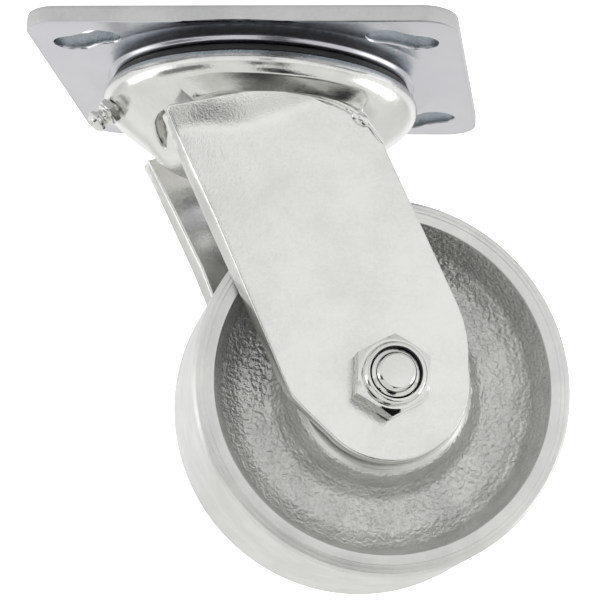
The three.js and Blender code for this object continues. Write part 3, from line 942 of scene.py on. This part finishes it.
def make_dust_seal():
    """The rubber ring between the plate and the head."""
    section = ring_section(38.9, 41.3, -9.2, -7.5, 0.4)
    seal = object_from("dust_seal_shown", turned_shape(section, 256), AT_PLATE)
    finish_piece(seal, "root", "seal_rubber", SEAL_RUBBER, "dust_seal")


def make_king_pin():
    """The flat-headed pin that the head turns on."""
    thread, shoulder = 6.35, -30.6
    corners = [(0, 0, 0), (10.9, 0, 0.25), (10.9, -0.6, 0.1), (8, -3.6, 0.4), (8, shoulder, 0.2),
               (thread, shoulder, 0.2), (thread, -43, 0.2), (5.4, -44, 0.2), (0, -44, 0)]
    pin = turned_rod("king_pin_shown", corners, AT_PLATE, 96)
    finish_piece(pin, "root", "plain_steel", PLAIN_STEEL, "king_pin")


def make_lower_cup():
    """The pressed cup that the lower ball row runs in."""
    corners = [(11, -36.6, 0), (14.0, -36.6, 2.4), (16.4, -33.8, 1.2), (16.4, -31.5, 0.3),
               (15.7, -31.5, 0.2), (14.5, -33.6, 0.4), (11.8, -34.9, 2.2), (9.2, -33.6, 0.4),
               (7.8, -30.9, 0.2), (BOLT_HOLE, -30.9, 0.2), (BOLT_HOLE, -36.6, 0.4), (11, -36.6, 0)]
    cup = object_from("lower_race_cup_shown", turned_shape(rounded(corners)[:-1], 128), AT_PLATE)
    finish_piece(cup, "root", "plated_plate", ZINC_PLATE, "lower_race_cup")


BALL_RADIUS = 3.04
BALL_HALF_PITCH = 3.05
BALL_ROWS = [("upper_ball_row", "upper_balls", 36, -9.9), ("lower_ball_row", "lower_balls", 12, -31.4)]


def ball_row_shape(count, pitch, height, radius):
    """Balls all round a circle of this pitch radius."""
    shape = bmesh.new()
    for i in range(count):
        angle = 2 * math.pi * i / count
        place = Matrix.Translation((pitch * math.cos(angle), pitch * math.sin(angle), height))
        bmesh.ops.create_uvsphere(shape, u_segments=20, v_segments=12, radius=radius, matrix=place)
    return shape


def make_ball_rows():
    """Both rows, with their balls almost touching."""
    for node, body, count, height in BALL_ROWS:
        pitch = BALL_HALF_PITCH / math.sin(math.pi / count)
        row = object_from(node + "_shown", ball_row_shape(count, pitch, height, BALL_RADIUS), AT_YOKE)
        finish_piece(row, body, "bearing_steel", BEARING_STEEL, node, sharp_degrees=80)


# --- hex pieces ----------------------------------------------------------------------------------------


def hex_shape(flats, low, high):
    """A hexagon prism along Y, with a corner up."""
    corner = flats / math.sqrt(3)
    angles = [math.pi / 2 + math.pi * i / 3 for i in range(6)]
    points = [(corner * math.cos(angle), corner * math.sin(angle)) for angle in angles]
    return loft([[(x, level, z) for x, z in points] for level in (low, high)])


def chamfer_envelope(flats, low, high):
    """The cone-ended solid that a hexagon's corners are turned down to."""
    corner = flats / math.sqrt(3) + 0.4
    flat = flats / 2 - 0.35
    drop = (corner - flat) * math.tan(math.radians(30))
    profile = [(0, low), (flat, low), (corner, low + drop), (corner, high - drop), (flat, high), (0, high)]
    return turned_shape([Vector(p) for p in profile], 144, False, False)


def make_lock_nut():
    """Hex body, a round collar rolled in at its end, and a bore."""
    top = NUT_SEAT - 7.2
    end = NUT_SEAT - 10
    nut = object_from("axle_lock_nut_shown", hex_shape(HEX_FLATS, top, NUT_SEAT))
    carve(nut, object_from("envelope", chamfer_envelope(HEX_FLATS, top, NUT_SEAT)), "INTERSECT")
    collar = [(0, end, 0), (7.7, end, 0.7), (8.35, end + 0.9, 0.8), (8.35, top - 0.1, 0.2)]
    collar += [(8.8, top + 0.6, 0), (0, top + 0.6, 0)]
    carve(nut, object_from("collar", turned_shape(rounded(collar), 128, False, False)), "UNION")
    pocket = NUT_SEAT - 6.6
    bore = [(0, 0, 0), (BOLT_HOLE, 0, 0), (BOLT_HOLE, pocket, 0), (7.95, pocket, 0), (7.95, end + 0.55, 0.3),
            (6.85, end + 0.25, 0.2), (7.05, end - 0.1, 0), (7.1, -60, 0), (0, -60, 0)]
    carve(nut, object_from("bore", turned_shape(rounded(bore, 3), 128, False, False)))
    nut.data.transform(AT_AXLE)
    finish_piece(nut, "yoke", "plated_fastener", ZINC_FASTENER, "axle_lock_nut", sharp_degrees=30)
    ring = ring_section(6.75, 7.65, end + 0.75, NUT_SEAT - 6.9, 0.25)
    insert = object_from("lock_nut_insert_shown", turned_shape(ring, 128, True, False), AT_AXLE)
    finish_piece(insert, "yoke", "insert_nylon", NYLON, "lock_nut_insert")


def make_axle_bolt():
    """Half-inch bolt: hexagon head, plain shank, and a thread, drawn as rings, under the nut."""
    seat = -NUT_SEAT
    head_end = seat + 7.95
    tip = NUT_SEAT - 11.6
    thread_end = NUT_SEAT + 4
    pitch = 1.954
    crest = AXLE_RADIUS - 0.03
    root = 5.45
    corners = [(0, tip, 0), (4.35, tip, 0.2), (4.9, tip + 0.45, 0.1), (4.8, tip + 0.7, 0.1)]
    corners += [(5.25, tip + 1.3, 0.15), (5.3, tip + 2.2, 0.1)]
    y = tip + 2.3
    while y + pitch < thread_end:
        corners += [(crest, y + 0.25, 0), (crest, y + 0.5, 0), (root, y + 1.25, 0.08), (root, y + 1.45, 0.08)]
        y += pitch
    corners += [(AXLE_RADIUS, thread_end, 0), (AXLE_RADIUS, seat + 1, 0), (0, seat + 1, 0)]
    bolt = object_from("axle_bolt_shown", turned_shape(rounded(corners, 3), 96, False, False))
    head = object_from("head", hex_shape(HEX_FLATS, seat, seat + 7.9))
    envelope = [(0, seat), (12, seat), (12, seat + 6.4), (9.1, head_end), (0, head_end)]
    envelope = turned_shape([Vector(p) for p in envelope], 144, False, False)
    carve(head, object_from("envelope", envelope), "INTERSECT")
    bevel_edges(head, 0.18)
    carve(bolt, head, "UNION")
    bolt.data.transform(AT_AXLE)
    finish_piece(bolt, "yoke", "plated_fastener", ZINC_FASTENER, "axle_bolt", sharp_degrees=30)


def make_king_pin_nut():
    """A thin nut below the lower cup, drawn along Y and stood up."""
    low, high = 36.9, 42.3
    nut = object_from("king_pin_nut_shown", hex_shape(HEX_FLATS, low, high))
    carve(nut, object_from("envelope", chamfer_envelope(HEX_FLATS, low, high)), "INTERSECT")
    hole = turned_shape([(0, 30), (BOLT_HOLE, 30), (BOLT_HOLE, 50), (0, 50)], 96, False, False)
    carve(nut, object_from("hole", hole))
    nut.data.transform(AT_PLATE @ Matrix.Rotation(-math.pi / 2, 4, "X"))
    finish_piece(nut, "root", "plated_fastener", ZINC_FASTENER, "king_pin_nut", sharp_degrees=30)


# Where the fitting leaves the head's wall, and how far it leans below level.
FITTING_BASE = (-39.9, -3, -16.8)
FITTING_PITCH = 40


def make_grease_fitting():
    """A pressed-in grease nipple: hexagon, waisted neck and a ball-shaped nose with an open mouth."""
    body = [(0, -3.8, 0), (2.55, -3.8, 0.2), (2.55, 0.8, 0), (3.3, 0.8, 0.1), (3.3, 3.7, 0.3),
            (2.3, 4.2, 0.3), (2.15, 5.1, 0.3), (3.0, 6.0, 0.5), (3.1, 7.0, 0.7), (2.2, 8.1, 0.5),
            (1.25, 8.4, 0.15), (0.85, 7.6, 0), (0.85, 6.2, 0), (0, 6.0, 0)]
    fitting = object_from("grease_fitting_shown", turned_shape(rounded(body), 72, False, False))
    hexagon = object_from("hexagon", hex_shape(7, 0.95, 3.3))
    carve(hexagon, object_from("envelope", chamfer_envelope(7, 0.95, 3.3)), "INTERSECT")
    carve(fitting, hexagon, "UNION")
    turn = Matrix.Rotation(math.radians(90 + FITTING_PITCH), 4, "Z")
    # drawn along Y in the X-Y plane, then stood up so that Y becomes Z
    stand = Matrix.Rotation(math.pi / 2, 4, "X")
    fitting.data.transform(AT_YOKE @ Matrix.Translation(FITTING_BASE) @ stand @ turn)
    finish_piece(fitting, "yoke", "plated_fastener", ZINC_FASTENER, "grease_fitting", sharp_degrees=35)


# --- wheel and bearing -----------------------------------------------------------------------------------

HUB_BORE = 15
# One side of the wheel's section: radius and distance from the mid plane, with a fillet.
WHEEL_SIDE = [
    (HUB_BORE, 21.9, 0.4),
    (22.6, 21.9, 0.8),
    (24.2, 20.6, 0.8),
    (26.0, 12.5, 3),
    (28.8, 8.9, 3),
    (37.6, 8.2, 5),
    (42.2, 11.6, 3.5),
    (44.9, 21.8, 0.4),
    (45.3, 22.4, 0.25),
    (47.75, 22.4, 0.1),
    (47.9, 22.2, 0.05),
    (48.1, 22.3, 0.1),
    (48.95, 22.12, 0.05),
    (49.05, 21.98, 0.05),
    (49.2, 22.06, 0.05),
    (50.0, 21.9, 0.15),
    (50.65, 21.1, 0.15),
    (50.8, 20.8, 0.15),
]
HUB_FACE = 23.6
CAST_FROM, CAST_TO = 22.6, 44.8
CAST_STEP = 0.6


def with_steps(points, inner, outer, step):
    """Adds points along a section's straight stretches between two radii, so that it can take grain."""
    filled = []
    for a, b in zip(points, points[1:] + points[:1]):
        filled.append(a)
        pieces = math.ceil((b - a).length / step)
        if inner < (a.x + b.x) / 2 < outer and pieces > 1:
            filled += [a.lerp(b, i / pieces) for i in range(1, pieces)]
    return filled


def make_wheel():
    """Turned from its section, with the rims, tread and hub ends machined and the rest left as cast."""
    near_side = [(r, -y, f) for r, y, f in reversed(WHEEL_SIDE)]
    corners = [(HUB_BORE, 0, 0), *WHEEL_SIDE, *near_side, (HUB_BORE, 0, 0)]
    profile = with_steps(rounded(corners, 6)[:-1], CAST_FROM, CAST_TO, CAST_STEP)
    segments = 360
    wheel = object_from("wheel_shown", turned_shape(profile, segments, True, False))
    wheel.data.materials.append(CAST_IRON)
    wheel.data.materials.append(TURNED_IRON)
    for polygon in wheel.data.polygons:
        x, y, z = polygon.center
        radius = math.hypot(x, z)
        machined = radius > 44.95 or (radius < HUB_FACE and abs(y) > 21)
        polygon.material_index = 1 if machined else 0
    normals = [vert.normal.copy() for vert in wheel.data.vertices]
    for vert, normal in zip(wheel.data.vertices, normals):
        x, y, z = vert.co
        radius = math.hypot(x, z)
        cast = min(max((44.2 - radius) / 3, 0), 1) * min(max((radius - 23) / 2, 0), 1)
        if cast > 0:
            lift = 0.16 * noise.noise(vert.co * 0.2) + 0.09 * noise.noise(vert.co * 0.7)
            vert.co += normal * lift * cast
    wheel.data.transform(AT_AXLE)
    finish_piece(wheel, "wheel", "cast_wheel", CAST_IRON, "wheel", sharp_degrees=50)


BUSHING_HALF_LENGTH = 23.6
WASHER_INNER_FACE = 22.2
ROLLER_COUNT = 8
ROLLER_PITCH = (9.525 + HUB_BORE) / 2
ROLLER_RADIUS = 2.58
ROLLER_HALF_LENGTH = 19


def make_bushing():
    """The hollow spindle that the axle bolt clamps between the legs."""
    section = ring_section(BOLT_HOLE, 9.5, -BUSHING_HALF_LENGTH, BUSHING_HALF_LENGTH, 0.4)
    piece = object_from("spanner_bushing_shown", turned_shape(section, 96, True, False), AT_AXLE)
    finish_piece(piece, "yoke", "bearing_steel", BEARING_STEEL, "spanner_bushing")


def make_thrust_washers():
    """A flat washer at each end of the hub."""
    near = ("thrust_washer_near", -BUSHING_HALF_LENGTH, -WASHER_INNER_FACE)
    far = ("thrust_washer_far", WASHER_INNER_FACE, BUSHING_HALF_LENGTH)
    for name, low, high in (near, far):
        section = ring_section(9.85, 19, low, high, 0.3)
        piece = object_from(name + "_shown", turned_shape(section, 128, True, False), AT_AXLE)
        finish_piece(piece, "yoke", "plain_steel", PLAIN_STEEL, name)


def make_rollers():
    """Rollers with broken edges, in the CAD model's own cage."""
    length, radius = ROLLER_HALF_LENGTH, ROLLER_RADIUS
    corners = [(0, -length, 0), (radius, -length, 0.4), (radius, length, 0.4), (0, length, 0)]
    for i in range(ROLLER_COUNT):
        angle = 2 * math.pi * i / ROLLER_COUNT
        spot = (ROLLER_PITCH * math.cos(angle), 0, -ROLLER_PITCH * math.sin(angle))
        name = f"roller_{i + 1}"
        piece = turned_rod(name + "_shown", corners, AT_AXLE @ Matrix.Translation(spot), 40, upright=False)
        finish_piece(piece, "roller_cage", "bearing_steel", BEARING_STEEL, name)
    cage = frame["nodes"]["roller_cage"]
    cage.data.materials.clear()
    cage.data.materials.append(PLAIN_STEEL)


set_stage()
make_top_plate()
make_yoke()
make_dust_seal()
make_king_pin()
make_lower_cup()
make_ball_rows()
make_lock_nut()
make_axle_bolt()
make_king_pin_nut()
make_grease_fitting()
make_wheel()
make_bushing()
make_thrust_washers()
make_rollers()
